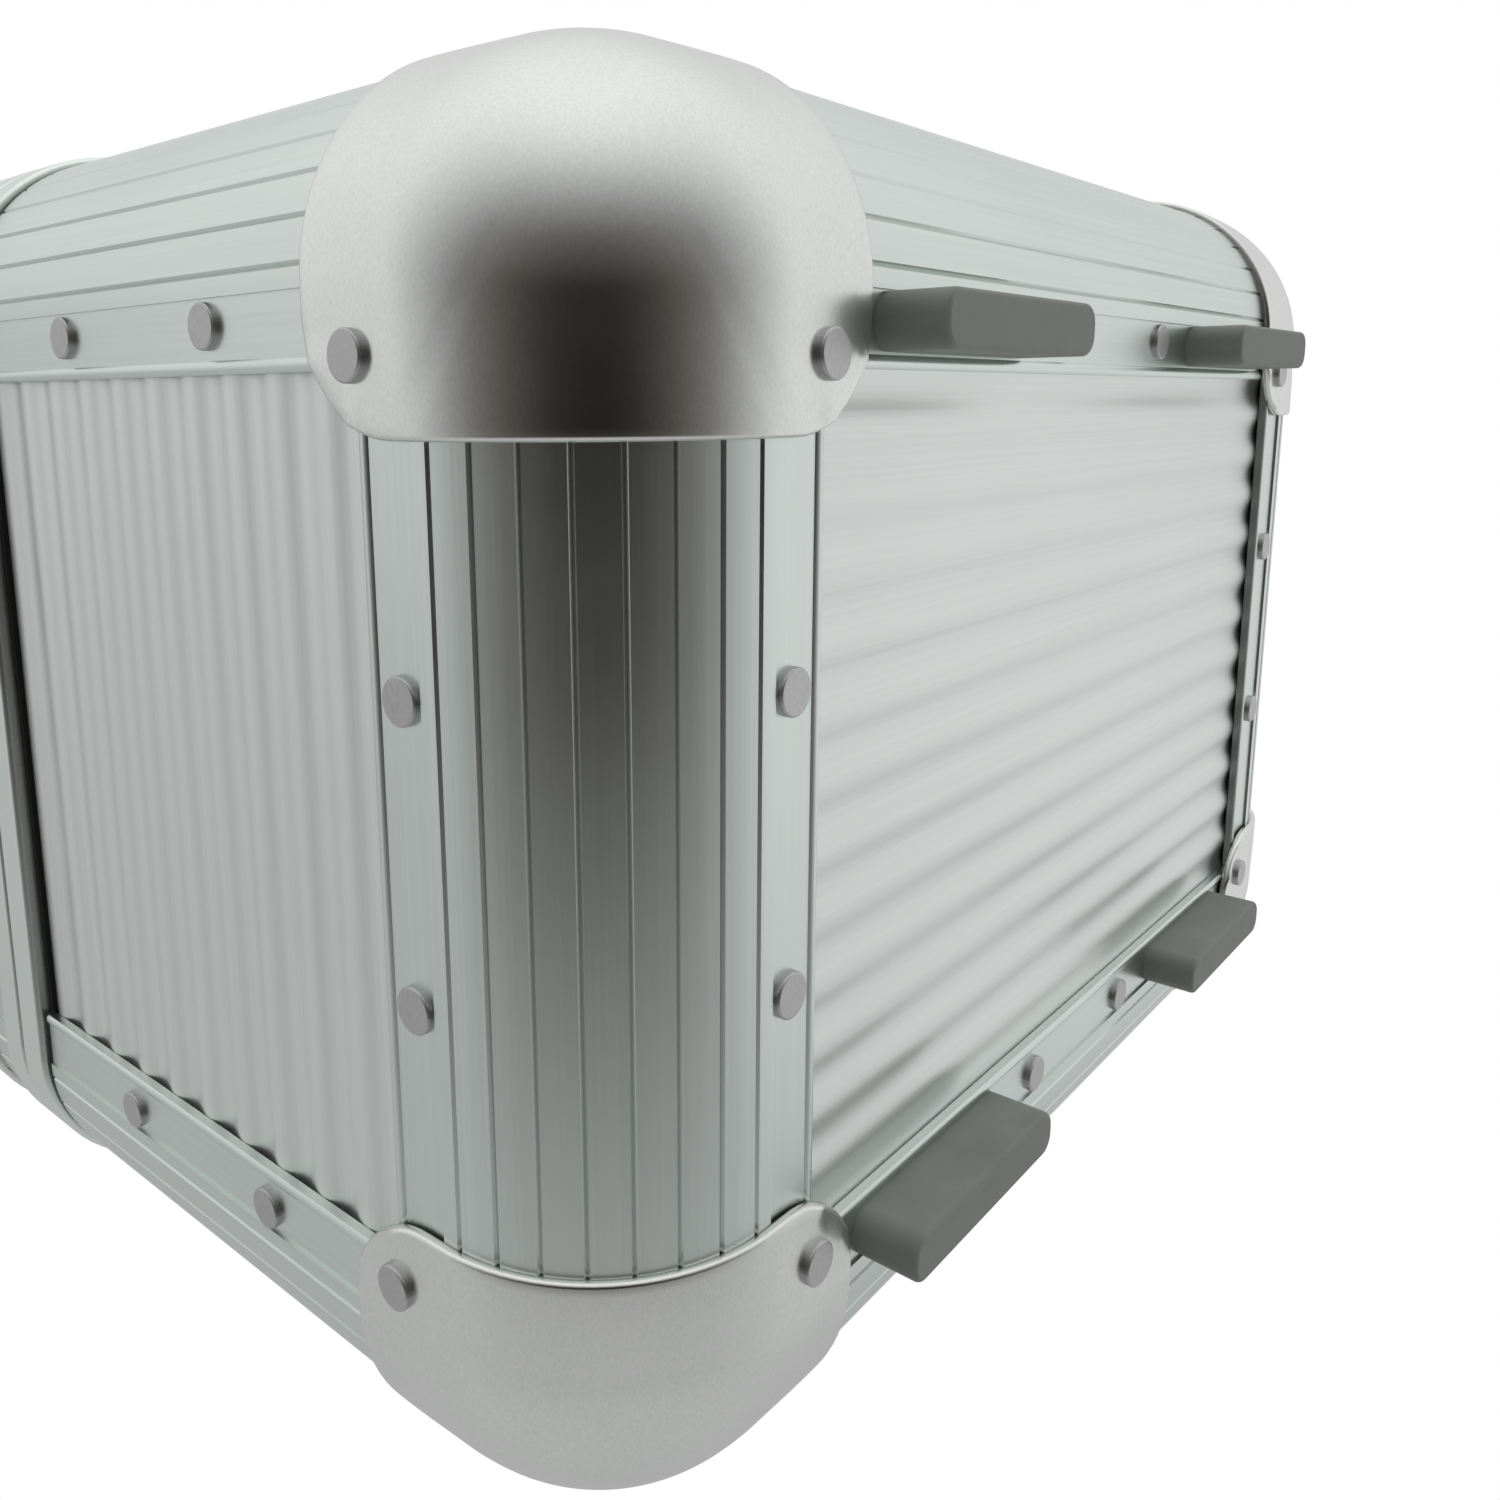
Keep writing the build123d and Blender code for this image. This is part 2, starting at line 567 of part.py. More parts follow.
with BuildPart() as latch_pins:
    for side in (-1, 1):
        with Locations((side * LATCH_X, LATCH_Y, LATCH_Z)):
            lying_cylinder(PIN, 2 * LATCH_HALF + 1.0)
save(latch_pins, "latch_pins")

lever_outer = LEVER_INNER - LEVER_THICK
for label, side in (("left", -1), ("right", 1)):
    with BuildPart() as lever:
        with BuildSketch(Plane.YZ.offset(side * LATCH_X)):
            with BuildLine():
                Polyline(
                    (LEVER_INNER, LATCH_Z),
                    (LEVER_INNER, LEVER_LOW + 2.0),
                    (LEVER_INNER - 1.6, LEVER_LOW - 1.5),
                    (lever_outer - 1.8, LEVER_LOW - 0.8),
                    (lever_outer, LEVER_LOW + 3.0),
                    (lever_outer, LATCH_Z),
                    (LEVER_INNER, LATCH_Z),
                )
            make_face()
        extrude(amount=LEVER_HALF, both=True)
        with Locations((side * LATCH_X, LATCH_Y, LATCH_Z)):
            lying_cylinder(EAR_ROUND, 2 * LEVER_HALF)
            lying_cylinder(PIN_BORE, 3 * LEVER_HALF, Mode.SUBTRACT)
    save(lever, "latch_lever_" + label)

# Handle: a bent rod with a grip, folding flat on the lid
MOUNT_PLATE = 2.0
MOUNT_HALF = 5.0
MOUNT_ROUND = 5.0
MOUNT_LONG = 28.0
HANDLE_BEND = 9.0
GRIP_HALF = 46.0
GRIP_WIDE = 18.0
GRIP_TALL = 11.0
MOUNT_Z = TOP_Z - PANEL_TOP + 0.1
PIVOT_Z = MOUNT_Z + MOUNT_PLATE + 4.25
with BuildPart() as mounts:
    for side in (-1, 1):
        with Locations((side * MOUNT_X, 0, MOUNT_Z)):
            Box(2 * MOUNT_HALF, MOUNT_LONG, MOUNT_PLATE, align=(Align.CENTER, Align.CENTER, Align.MIN))
            Box(2 * MOUNT_HALF, 2 * MOUNT_ROUND, PIVOT_Z - MOUNT_Z, align=(Align.CENTER, Align.CENTER, Align.MIN))
        with Locations((side * MOUNT_X, 0, PIVOT_Z)):
            lying_cylinder(MOUNT_ROUND, 2 * MOUNT_HALF)
            lying_cylinder(HANDLE_BORE, 4 * MOUNT_HALF, Mode.SUBTRACT)
save(mounts, "handle_mounts")

rod_end = MOUNT_X + MOUNT_HALF - 0.5
with BuildPart() as bail:
    with BuildLine(Plane.XY.offset(PIVOT_Z)) as route:
        FilletPolyline(
            (-rod_end, 0),
            (-HANDLE_HALF, 0),
            (-HANDLE_HALF, -HANDLE_ARM),
            (HANDLE_HALF, -HANDLE_ARM),
            (HANDLE_HALF, 0),
            (rod_end, 0),
            radius=HANDLE_BEND,
        )
    with BuildSketch(Plane(origin=(-rod_end, 0, PIVOT_Z), z_dir=(1, 0, 0))):
        Circle(HANDLE_ROD)
    sweep(path=route.wires()[0])
save(bail, "handle_bail")

with BuildPart() as grip:
    with BuildSketch(Plane(origin=(0, -HANDLE_ARM, PIVOT_Z), x_dir=(0, 1, 0), z_dir=(1, 0, 0))):
        RectangleRounded(GRIP_WIDE, GRIP_TALL, GRIP_TALL / 2 - 0.3)
        Circle(HANDLE_ROD, mode=Mode.SUBTRACT)
    extrude(amount=GRIP_HALF, both=True)
save(grip, "handle_grip")
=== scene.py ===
import math

import bmesh
import bpy
from mathutils import Matrix, Vector, noise


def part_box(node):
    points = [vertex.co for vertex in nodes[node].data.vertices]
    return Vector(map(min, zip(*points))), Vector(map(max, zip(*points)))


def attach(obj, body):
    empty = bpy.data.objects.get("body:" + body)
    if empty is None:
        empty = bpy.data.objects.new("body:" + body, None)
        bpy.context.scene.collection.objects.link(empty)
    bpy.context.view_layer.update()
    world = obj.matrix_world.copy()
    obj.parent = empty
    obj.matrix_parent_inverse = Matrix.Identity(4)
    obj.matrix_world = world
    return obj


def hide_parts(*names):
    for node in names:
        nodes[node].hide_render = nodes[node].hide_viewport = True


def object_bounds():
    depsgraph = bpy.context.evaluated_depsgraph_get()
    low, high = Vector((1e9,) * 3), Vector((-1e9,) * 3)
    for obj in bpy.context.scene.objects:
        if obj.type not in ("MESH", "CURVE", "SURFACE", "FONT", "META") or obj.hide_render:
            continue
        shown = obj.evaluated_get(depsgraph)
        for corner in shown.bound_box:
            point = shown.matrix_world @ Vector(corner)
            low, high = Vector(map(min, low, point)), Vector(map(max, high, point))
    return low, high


# The looks of the aluminium carry case: materials for every part, corner caps, foam and a handle grip
# in place of their CAD solids, the studio and the camera. Everything is in metres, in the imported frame.

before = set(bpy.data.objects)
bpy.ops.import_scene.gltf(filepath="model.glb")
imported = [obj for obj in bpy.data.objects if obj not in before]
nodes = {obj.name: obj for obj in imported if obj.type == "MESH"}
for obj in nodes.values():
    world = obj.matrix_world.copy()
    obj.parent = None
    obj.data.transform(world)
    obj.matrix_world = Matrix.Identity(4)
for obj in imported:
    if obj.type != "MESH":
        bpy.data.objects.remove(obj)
cad_low, cad_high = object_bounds()

# ---------------------------------------------------------------- camera
CAMERA_AT = Vector((-0.2438, -0.0607, -0.0830))
CAMERA_RIGHT = Vector((0.6527, 0.0071, -0.7576))
CAMERA_UP = Vector((0.1448, -0.9827, 0.1155))
LENS = 29.94             # millimetres
SENSOR = 36.0
SHIFT = (0.0584, -0.0757)
NEAR_CLIP = 0.01


def make_camera():
    """Low at the near bottom corner, looking up at the underside with the front wall uppermost."""
    data = bpy.data.cameras.new("camera")
    data.lens = LENS
    data.sensor_width = SENSOR
    data.shift_x, data.shift_y = SHIFT
    data.clip_start = NEAR_CLIP
    right = CAMERA_RIGHT.normalized()
    back = right.cross(CAMERA_UP).normalized()
    up = back.cross(right)
    turn = Matrix((right, up, back)).transposed().to_4x4()
    camera = bpy.data.objects.new("camera", data)
    camera.matrix_world = Matrix.Translation(CAMERA_AT) @ turn
    bpy.context.scene.collection.objects.link(camera)
    bpy.context.scene.camera = camera


# ---------------------------------------------------------------- node trees
class Wiring:
    """Short helpers for the nodes of one tree."""

    def __init__(self, tree):
        self.tree = tree

    def join(self, value, socket):
        """Feeds a socket from another one, or sets it to a plain number."""
        if isinstance(value, (int, float)):
            socket.default_value = value
        else:
            self.tree.links.new(value, socket)

    def math(self, operation, first, second):
        node = self.tree.nodes.new("ShaderNodeMath")
        node.operation = operation
        self.join(first, node.inputs[0])
        self.join(second, node.inputs[1])
        return node.outputs["Value"]

    def ranged(self, value, start, end, low=0.0, high=1.0, kind="LINEAR"):
        """The value taken from the range start to end into the range low to high, and kept in it."""
        node = self.tree.nodes.new("ShaderNodeMapRange")
        node.interpolation_type = kind
        for socket, number in (("From Min", start), ("From Max", end), ("To Min", low), ("To Max", high)):
            node.inputs[socket].default_value = number
        self.tree.links.new(value, node.inputs["Value"])
        return node.outputs["Result"]

    def mixed(self, factor, first, second):
        """A colour between two plain ones."""
        node = self.tree.nodes.new("ShaderNodeMix")
        node.data_type = "RGBA"
        node.inputs["A"].default_value = (*first, 1)
        node.inputs["B"].default_value = (*second, 1)
        self.tree.links.new(factor, node.inputs["Factor"])
        return node.outputs["Result"]


# ---------------------------------------------------------------- studio
DARK_SIDE = Vector((-0.72, 0.0, -0.69)).normalized()
DARK_STEPS = (       # cosine from the dark side, brightness of the surroundings
    (-1.0, 0.74), (-0.75, 0.78), (-0.4, 0.88), (-0.1, 0.84), (0.25, 0.52), (0.6, 0.18),
    (0.82, 0.065), (0.95, 0.015), (1.0, 0.006),
)
SKY = 1.07           # soft light over the front of the case
SKY_POWER = 3.0      # how closely it gathers there
TABLE = 0.53         # the dimmer side, behind the back wall
TABLE_FROM = 0.20    # cosines between which it comes in
TABLE_FULL = 0.80
SHADE_SIDE = Vector((0.0, 0.53, 0.85)).normalized()     # a shaded patch above, towards the back
SHADE_FROM = 0.60
SHADE_FULL = 0.86
SHADE_LEFT = 0.60    # share of the light left in it
DARK_TINT = (1.15, 1.0, 0.90)     # the dark side is a little warm
WHITE = (1.0, 1.0, 1.0)
TINT_FROM = 0.04     # brightness below which the tint is full
TINT_FULL = 0.30     # brightness from which there is none
FRONT = (0, -1, 0)
BACK = (0, 1, 0)
FLOOR_SIZE = 6.0
FLOOR_GREY = (0.86, 0.86, 0.86, 1)
FLOOR_ROUGH = 0.7
KEY_AT = (0.9, -1.3, 1.5)         # the lamp's place, and the point that it lights
KEY_AIM = (0, 0, 0.13)
KEY_SIZE = 1.2
KEY_POWER = 5.0


class Surroundings(Wiring):
    """The node tree of the world, with the way that each ray goes."""

    def __init__(self, tree):
        super().__init__(tree)
        self.tree.nodes.clear()
        self.way = tree.nodes.new("ShaderNodeTexCoord").outputs["Generated"]

    def along(self, direction):
        """Cosine of the angle from a direction."""
        node = self.tree.nodes.new("ShaderNodeVectorMath")
        node.operation = "DOT_PRODUCT"
        node.inputs[1].default_value = direction
        self.tree.links.new(self.way, node.inputs[0])
        return node.outputs["Value"]

    def blended(self, factor, first, second):
        """first + (second - first) * factor, with a plain number for second."""
        rest = self.math("SUBTRACT", 1.0, factor)
        return self.math("ADD", self.math("MULTIPLY", first, rest), self.math("MULTIPLY", factor, second))


def surround_level(studio):
    """How bright the surroundings are on each side."""
    ramp = studio.tree.nodes.new("ShaderNodeValToRGB")
    fill_ramp(ramp, [((cosine + 1) / 2, (level, level, level, 1)) for cosine, level in DARK_STEPS])
    studio.join(studio.ranged(studio.along(DARK_SIDE), -1.0, 1.0), ramp.inputs["Fac"])
    away = studio.along(SHADE_SIDE)
    shade = studio.ranged(away, SHADE_FROM, SHADE_FULL, 1.0, SHADE_LEFT, "SMOOTHSTEP")
    level = studio.math("MULTIPLY", ramp.outputs["Color"], shade)
    over = studio.math("POWER", studio.math("MAXIMUM", studio.along(FRONT), 0.0), SKY_POWER)
    level = studio.blended(over, level, SKY)
    behind = studio.ranged(studio.along(BACK), TABLE_FROM, TABLE_FULL, kind="SMOOTHSTEP")
    return studio.blended(behind, level, TABLE)


def make_world():
    """White studio: bright over the front, dim behind the back wall, dark towards the camera's side."""
    world = bpy.data.worlds.new("studio")
    bpy.context.scene.world = world
    world.use_nodes = True
    studio = Surroundings(world.node_tree)
    tree = studio.tree
    level = surround_level(studio)
    tint = studio.mixed(studio.ranged(level, TINT_FROM, TINT_FULL, kind="SMOOTHSTEP"), DARK_TINT, WHITE)
    colour = tree.nodes.new("ShaderNodeVectorMath")
    colour.operation = "SCALE"
    studio.join(tint, colour.inputs[0])
    studio.join(level, colour.inputs["Scale"])
    rays = tree.nodes.new("ShaderNodeLightPath")
    seen = tree.nodes.new("ShaderNodeBackground")
    seen.inputs["Color"].default_value = (*WHITE, 1)
    lit = tree.nodes.new("ShaderNodeBackground")
    mix = tree.nodes.new("ShaderNodeMixShader")
    out = tree.nodes.new("ShaderNodeOutputWorld")
    studio.join(colour.outputs["Vector"], lit.inputs["Color"])
    studio.join(rays.outputs["Is Camera Ray"], mix.inputs["Fac"])
    studio.join(lit.outputs["Background"], mix.inputs[1])
    studio.join(seen.outputs["Background"], mix.inputs[2])
    studio.join(mix.outputs["Shader"], out.inputs["Surface"])


def fill_ramp(ramp, stops):
    """Sets the stops of a colour ramp from (place, colour) pairs."""
    elements = ramp.color_ramp.elements
    while len(elements) < len(stops):
        elements.new(1.0)
    for element, (place, colour) in zip(elements, stops):
        element.position = place
        element.color = colour


def make_floor():
    """Pale floor, seen only from above: from below it is clear, so that the underside shows."""
    mesh = bpy.data.meshes.new("floor")
    half = FLOOR_SIZE / 2
    corners = [(-half, -half, 0), (half, -half, 0), (half, half, 0), (-half, half, 0)]
    mesh.from_pydata(corners, [], [(0, 1, 2, 3)])
    floor = bpy.data.objects.new("floor", mesh)
    bpy.context.scene.collection.objects.link(floor)
    material = bpy.data.materials.new("floor")
    material.use_nodes = True
    tree = material.node_tree
    shader = tree.nodes["Principled BSDF"]
    shader.inputs["Base Color"].default_value = FLOOR_GREY
    shader.inputs["Roughness"].default_value = FLOOR_ROUGH
    facing = tree.nodes.new("ShaderNodeNewGeometry")
    clear = tree.nodes.new("ShaderNodeBsdfTransparent")
    mix = tree.nodes.new("ShaderNodeMixShader")
    out = tree.nodes["Material Output"]
    tree.links.new(facing.outputs["Backfacing"], mix.inputs["Fac"])
    tree.links.new(shader.outputs["BSDF"], mix.inputs[1])
    tree.links.new(clear.outputs["BSDF"], mix.inputs[2])
    tree.links.new(mix.outputs["Shader"], out.inputs["Surface"])
    mesh.materials.append(material)
    floor.visible_diffuse = False
    floor.visible_glossy = False
    floor.visible_transmission = False
    floor.visible_shadow = False


def make_key():
    """One large soft lamp that does not show in the metal."""
    data = bpy.data.lights.new("key", "AREA")
    data.shape = "DISK"
    data.size = KEY_SIZE
    data.energy = KEY_POWER
    lamp = bpy.data.objects.new("key", data)
    lamp.location = KEY_AT
    lamp.rotation_euler = (Vector(KEY_AIM) - Vector(KEY_AT)).to_track_quat("-Z", "Y").to_euler()
    lamp.visible_glossy = False
    bpy.context.scene.collection.objects.link(lamp)


# ---------------------------------------------------------------- materials
METALS = {               # light and dark colour, roughness, depth of the grain
    "extrusion": ((0.75, 0.81, 0.78), (0.69, 0.745, 0.72), 0.31, 0.000008),
    "panel": ((0.87, 0.905, 0.885), (0.81, 0.845, 0.825), 0.44, 0.00001),
    "cap": ((0.83, 0.845, 0.83), (0.72, 0.735, 0.72), 0.25, 0.0000025),
    "rim": ((0.84, 0.90, 0.87), (0.78, 0.84, 0.81), 0.32, 0.000008),
    "rivet": ((0.58, 0.585, 0.58), (0.48, 0.485, 0.48), 0.40, 0.00001),
    "steel": ((0.60, 0.60, 0.61), (0.48, 0.48, 0.49), 0.25, 0.000008),
}
METAL_FINISHES = (       # name, metal, axis of the drawn streaks
    ("extrusion_X", "extrusion", "X"),
    ("extrusion_Y", "extrusion", "Y"),
    ("extrusion_Z", "extrusion", "Z"),
    ("panel_X", "panel", "X"),
    ("panel_Y", "panel", "Y"),
    ("cap", "cap", None),
    ("rim", "rim", "X"),
    ("rivet", "rivet", None),
    ("steel", "steel", "X"),
)
RUBBERS = {              # light and dark colour, roughness, scale of the pebble
    "black_rubber": ((0.012, 0.012, 0.012), (0.006, 0.006, 0.006), 0.60, 2500.0),
    "foot_rubber": ((0.33, 0.355, 0.325), (0.26, 0.28, 0.255), 0.60, 1800.0),
    "grip_rubber": ((0.030, 0.030, 0.030), (0.018, 0.018, 0.018), 0.55, 1600.0),
}
FINISH_BY_ENDING = {     # ending of a node's name, finish
    "_rim": "rim",
    "_rivets": "rivet",
    "_seal": "black_rubber",
    "_gasket": "black_rubber",
    "feet": "foot_rubber",
    "_grip": "grip_rubber",
    "_liner": "cloth",
    "_foam": "foam",
    "_pad": "foam",
}
EDGE_TINT = (0.90, 0.90, 0.90, 1)     # metals reflect a little less at a flat angle
LONG_GRAIN = 12.0        # noise scale along a streak
FINE_GRAIN = 1500.0      # and across it
EVEN_GRAIN = 2600.0      # for metal with no streaks
CLOUD_LOW = 0.3          # clouds of noise hardly leave this range
CLOUD_HIGH = 0.7
METAL_CLOUDS = 22.0      # noise scales of the clouds on each kind
RUBBER_CLOUDS = 60.0
FOAM_CLOUDS = 35.0
CLOTH_CLOUDS = 30.0
METAL_UNEVEN = 0.03      # how far the clouds take the roughness
RUBBER_UNEVEN = 0.08
PEBBLE_DEEP = 0.00004
# the foam's dark colour serves both the random mottle and the painted shade in the pits
FOAM_LIGHT = (0.060, 0.061, 0.064)
FOAM_DARK = (0.020, 0.020, 0.022)
FOAM_CELLS = 700.0       # texture scale of the pits
FOAM_CELL_DEEP = 0.0006
# the cloth's dark colour serves both a random tone and the painted shade between the threads
CLOTH_LIGHT = (0.045, 0.046, 0.050)
CLOTH_DARK = (0.012, 0.012, 0.014)
CLOTH_THREADS = 1400.0   # texture scale of the threads
CLOTH_UNEVEN = 0.6       # how much the threads wander
CLOTH_DEEP = 0.0002
THREAD_FLAT = 0.02       # scale along the two axes that a thread does not follow


class Shader(Wiring):
    """A Principled material with short helpers for its texture nodes."""

    def __init__(self, name):
        self.material = bpy.data.materials.new(name)
        self.material.use_nodes = True
        super().__init__(self.material.node_tree)
        self.main = self.tree.nodes["Principled BSDF"]
        self.coords = self.tree.nodes.new("ShaderNodeTexCoord")

    def set(self, **values):
        """Plain values of the main shader, with its socket names in lower case."""
        for key, value in values.items():
            self.main.inputs[key.replace("_", " ").title().replace("Ior", "IOR")].default_value = value
        return self

    def texture(self, kind, stretch, **values):
        """A texture node of one kind over the object's own coordinates."""
        mapping = self.tree.nodes.new("ShaderNodeMapping")
        mapping.inputs["Scale"].default_value = stretch
        self.tree.links.new(self.coords.outputs["Object"], mapping.inputs["Vector"])
        node = self.tree.nodes.new(kind)
        for key, value in values.items():
            node.inputs[key.title()].default_value = value
        self.tree.links.new(mapping.outputs["Vector"], node.inputs["Vector"])
        return node

    def noise(self, scale, detail, roughness=0.55, stretch=(1, 1, 1)):
        node = self.texture("ShaderNodeTexNoise", stretch, scale=scale, detail=detail, roughness=roughness)
        return node.outputs["Fac"]

    def cells(self, scale):
        return self.texture("ShaderNodeTexVoronoi", (1, 1, 1), scale=scale).outputs["Distance"]

    def waves(self, scale, distortion, stretch):
        node = self.texture("ShaderNodeTexWave", stretch, scale=scale, distortion=distortion, detail=1.0)
        return node.outputs["Fac"]

    def bump(self, height, distance):
        node = self.tree.nodes.new("ShaderNodeBump")
        node.inputs["Strength"].default_value = 1.0
        node.inputs["Distance"].default_value = distance
        self.tree.links.new(height, node.inputs["Height"])
        self.feed("Normal", node.outputs["Normal"])

    def feed(self, socket, value):
        self.tree.links.new(value, self.main.inputs[socket])


def grain_stretch(axis):
    """Noise scale that draws streaks along one axis, or a fine even grain for no axis."""
    if axis is None:
        return (EVEN_GRAIN, EVEN_GRAIN / 2, EVEN_GRAIN)
    return tuple(LONG_GRAIN if letter == axis else FINE_GRAIN for letter in "XYZ")


def satin_metal(name, light, dark, rough, grain_deep, axis):
    """Satin metal: fine grain or drawn streaks under cloudy handling marks."""
    shader = Shader(name).set(metallic=1.0, specular_tint=EDGE_TINT)
    streaks = shader.noise(1.0, 2.0, 0.6, grain_stretch(axis))
    clouds = shader.noise(METAL_CLOUDS, 4.0)
    blend = shader.math("ADD", shader.math("MULTIPLY", streaks, 0.5), shader.math("MULTIPLY", clouds, 0.5))
    shader.feed("Base Color", shader.mixed(shader.ranged(blend, 0.35, 0.65), dark, light))
    uneven = shader.ranged(clouds, CLOUD_LOW, CLOUD_HIGH, rough - METAL_UNEVEN, rough + METAL_UNEVEN)
    shader.feed("Roughness", uneven)
    shader.bump(streaks, grain_deep)
    return shader.material


def rubber(name, light, dark, rough, speck):
    """Moulded rubber: matte, faint mottling and a fine pebble."""
    shader = Shader(name).set(specular_ior_level=0.35)
    clouds = shader.noise(RUBBER_CLOUDS, 5.0)
    pebble = shader.noise(speck, 2.0)
    shader.feed("Base Color", shader.mixed(shader.ranged(clouds, CLOUD_LOW, CLOUD_HIGH), dark, light))
    uneven = shader.ranged(clouds, CLOUD_LOW, CLOUD_HIGH, rough - RUBBER_UNEVEN, rough + RUBBER_UNEVEN)
    shader.feed("Roughness", uneven)
    shader.bump(pebble, PEBBLE_DEEP)
    return shader.material


def foam():
    """Open-cell foam: small pits between cell walls over a soft mottle, with painted shade that darkens
    the pits.
    """
    shader = Shader("foam").set(roughness=0.95, specular_ior_level=0.15)
    shader.set(sheen_weight=0.3, sheen_roughness=0.6)
    cells = shader.cells(FOAM_CELLS)
    clouds = shader.noise(FOAM_CLOUDS, 4.0)
    # painted shade: the colour darkens towards each cell's middle, where the bump presses a pit; the
    # clouds add a random mottle
    blend = shader.math("MULTIPLY", shader.ranged(cells, 0.0, 0.6, 0.35, 1.0), clouds)
    shader.feed("Base Color", shader.mixed(shader.ranged(blend, 0.1, 0.6), FOAM_DARK, FOAM_LIGHT))
    shader.bump(cells, FOAM_CELL_DEEP)
    return shader.material


def cloth():
    """Plain woven lining: crossed threads with a soft sheen, and painted shade that darkens the gaps
    between the threads.
    """
    shader = Shader("cloth").set(roughness=0.85, specular_ior_level=0.2)
    shader.set(sheen_weight=0.4, sheen_roughness=0.5)
    stretches = [tuple(1 if axis == along else THREAD_FLAT for axis in range(3)) for along in range(3)]
    threads = [shader.waves(CLOTH_THREADS, CLOTH_UNEVEN, stretch) for stretch in stretches]
    weave = shader.math("MAXIMUM", shader.math("MAXIMUM", threads[0], threads[1]), threads[2])
    clouds = shader.noise(CLOTH_CLOUDS, 4.0)
    # painted shade: the colour darkens between the threads, where the bump sinks; the clouds add a random
    # tone
    tone = shader.math("MULTIPLY", weave, shader.ranged(clouds, CLOUD_LOW, CLOUD_HIGH, 0.7, 1.0))
    shader.feed("Base Color", shader.mixed(tone, CLOTH_DARK, CLOTH_LIGHT))
    shader.bump(weave, CLOTH_DEEP)
    return shader.material


def make_materials():
    """Every finish on the case, by name."""
    made = {"foam": foam(), "cloth": cloth()}
    for name, metal, axis in METAL_FINISHES:
        made[name] = satin_metal(name, *METALS[metal], axis)
    for name, look in RUBBERS.items():
        made[name] = rubber(name, *look)
    return made


def finish_for(name):
    """The finish of one CAD node, from its name; what no rule names is steel."""
    if "_corner_" in name:
        return "cap"
    if "_post_" in name:
        return "extrusion_Z"
    if "_edge_" in name:
        return "extrusion_X" if name.endswith(("front", "back")) else "extrusion_Y"
    if name.endswith("_panel"):
        return "panel_Y" if name.endswith(("left_panel", "right_panel")) else "panel_X"
    if name.startswith("foam_"):
        return "foam"
    for ending, finish in FINISH_BY_ENDING.items():
        if name.endswith(ending):
            return finish
    return "steel"


def dress(obj, material):
    """Puts one material in every slot of an object."""
    if not obj.material_slots:
        obj.data.materials.append(material)
    for slot in obj.material_slots:
        slot.material = material


# ---------------------------------------------------------------- meshes
def smooth_step(value, start, end):
    """0 up to start, 1 from end on, with a soft turn between."""
    share = min(max((value - start) / (end - start), 0.0), 1.0)
    return share * share * (3 - 2 * share)


def bridge(mesh, first, second):
    """Quads between two closed rows with the same number of points."""
    for place in range(len(first)):
        after = (place + 1) % len(first)
        mesh.faces.new((first[place], first[after], second[after], second[place]))


def smooth_object(name, mesh, material):
    """A smooth-shaded object in the scene from a finished bmesh, which is freed."""
    bmesh.ops.recalc_face_normals(mesh, faces=mesh.faces)
    data = bpy.data.meshes.new(name)
    mesh.to_mesh(data)
    mesh.free()
    data.polygons.foreach_set("use_smooth", [True] * len(data.polygons))
    data.materials.append(material)
    piece = bpy.data.objects.new(name, data)
    bpy.context.scene.collection.objects.link(piece)
    return piece


# ---------------------------------------------------------------- corner caps
ROUND = 0.033            # radius of the case's edges
BALL_ROUND = 0.0357      # radius of the ball
CUT_ROUND = 0.034        # radius of the cap at its cut edge
FLARE_START = 0.55       # share of the reach where the one begins to turn into the other
INNER_START = 0.68       # the inside turns to the edge's own radius between these shares
INNER_END = 0.83
INNER_GAP = 0.00005      # clearance over the extrusions
CAP_THICK = 0.0016
CAP_REACH = 0.0523       # virtual face to the flat part's end; the soft rim adds the rest
CAP_LOBE = 0.0165        # rounded corner of each lobe
BEAD_LINE = 0.043        # the flange beads run this far from the virtual edge
BEAD_HALF = 0.0015
BEAD_TALL = 0.0007
BEAD_FADE = 0.012
CAP_RINGS = 40
INNER_RINGS = 12
ROUND_STEPS = 12
LOBE_STEPS = 14
RIM_ROWS = (             # outward past the flat part, height over the case
    (0.00025, 0.00155), (0.00045, 0.0014), (0.00062, 0.00112),
    (0.0007, 0.0008), (0.0007, 0.00045), (0.0006, 0.0001),
)


def round_across(step):
    """Distance from the virtual edge of a point on the edge's round, in even turns from 0."""
    return ROUND * (1 - math.tan(math.pi / 4 * (1 - step / ROUND_STEPS)))


def lobe_outline():
    """One lobe of the cut edge on the virtual cube, from one edge of the cube to the next, in-plane."""
    points = [(CAP_REACH, round_across(step)) for step in range(ROUND_STEPS)]
    flat_end = CAP_REACH - CAP_LOBE
    for step in range(LOBE_STEPS + 1):
        turn = math.pi / 2 * step / LOBE_STEPS
        points.append((flat_end + CAP_LOBE * math.cos(turn), flat_end + CAP_LOBE * math.sin(turn)))
    points.extend((round_across(step), CAP_REACH) for step in range(ROUND_STEPS - 1, 0, -1))
    return points


def cap_loop():
    """The whole cut edge on the virtual cube as 3-D points, round the three faces of the corner."""
    loop = []
    for first, second in ((0, 1), (1, 2), (2, 0)):
        for along, across in lobe_outline():
            point = [0.0, 0.0, 0.0]
            point[first] = along
            point[second] = across
            loop.append(Vector(point))
    return loop


def on_rounded_cube(point, radius):
    """The nearest core point of the rounded cube and the way out from it."""
    core = Vector([max(value, radius) for value in point])
    return core, (point - core).normalized()


